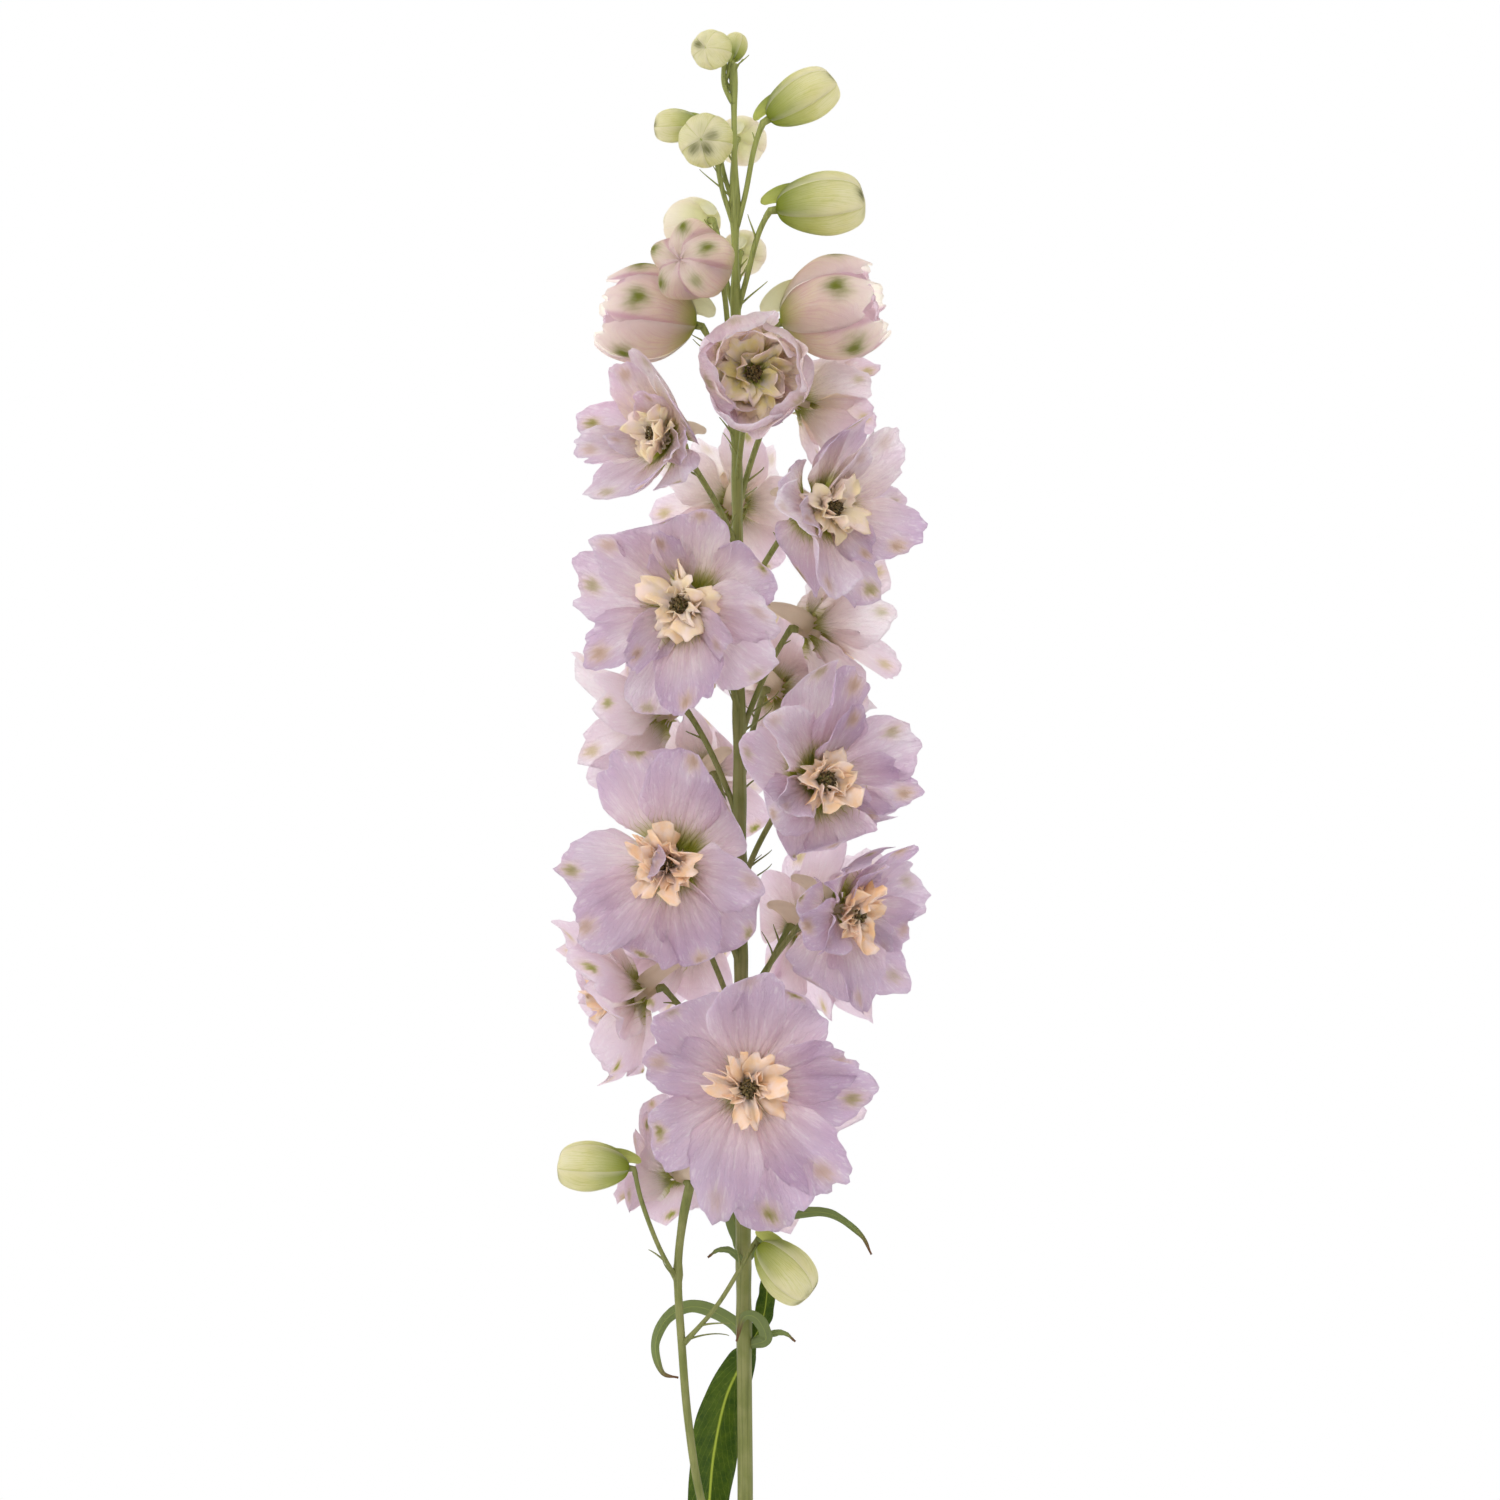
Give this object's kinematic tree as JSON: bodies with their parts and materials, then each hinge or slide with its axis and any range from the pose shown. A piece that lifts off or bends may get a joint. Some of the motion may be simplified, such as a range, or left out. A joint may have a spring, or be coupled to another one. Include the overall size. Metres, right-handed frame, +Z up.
{
  "type": "delphinium in vase",
  "caption": "Cut delphinium spike with pale lilac double flowers and green buds, standing in a narrow-necked clear glass vase of water.",
  "frame": {"origin": "middle of the vase's flat underside", "axes": "+Z up along the flower spike, -Y towards the side that the picture shows, +X to that view's right"},
  "size_m": [0.094, 0.0939, 0.6083],
  "materials": {
    "petal": "soft, thin and see-through against light",
    "eye": "soft, crumpled",
    "bud": "downy",
    "opening_bud": "downy",
    "green": "faintly waxy",
    "glass": "clear, polished",
    "water": "clear"
  },
  "bodies": {
    "root": {"bloom_01": "petal", "bloom_01_eye": "eye", "bloom_02": "petal", "bloom_02_eye": "eye", "bloom_03": "petal", "bloom_03_eye": "eye", "bloom_04": "petal", "bloom_04_eye": "eye", "bloom_05": "petal", "bloom_05_eye": "eye", "bloom_06": "petal", "bloom_06_eye": "eye", "bloom_07": "petal", "bloom_07_eye": "eye", "bloom_08": "petal", "bloom_08_eye": "eye", "bloom_09": "petal", "bloom_09_eye": "eye", "bloom_10": "petal", "bloom_10_eye": "eye", "bloom_11": "petal", "bloom_11_eye": "eye", "bloom_12": "petal", "bloom_12_eye": "eye", "bloom_13": "petal", "bloom_13_eye": "eye", "bloom_14": "petal", "bloom_14_eye": "eye", "bloom_15": "petal", "bloom_15_eye": "eye", "bloom_16": "petal", "bloom_16_eye": "eye", "bloom_17": "petal", "bloom_17_eye": "eye", "bloom_18": "petal", "bloom_18_eye": "eye", "bloom_19": "petal", "bloom_19_eye": "eye", "bud_01": "opening_bud", "bud_02": "opening_bud", "bud_03": "opening_bud", "bud_04": "bud", "bud_05": "bud", "bud_06": "bud", "bud_07": "bud", "bud_08": "bud", "bud_09": "bud", "bud_10": "bud", "bud_11": "bud", "bud_12": "bud", "bud_13": "bud", "bud_14": "bud", "leafy_stem": "green", "vase": "glass", "water": "water"}
  },
  "joints": []
}
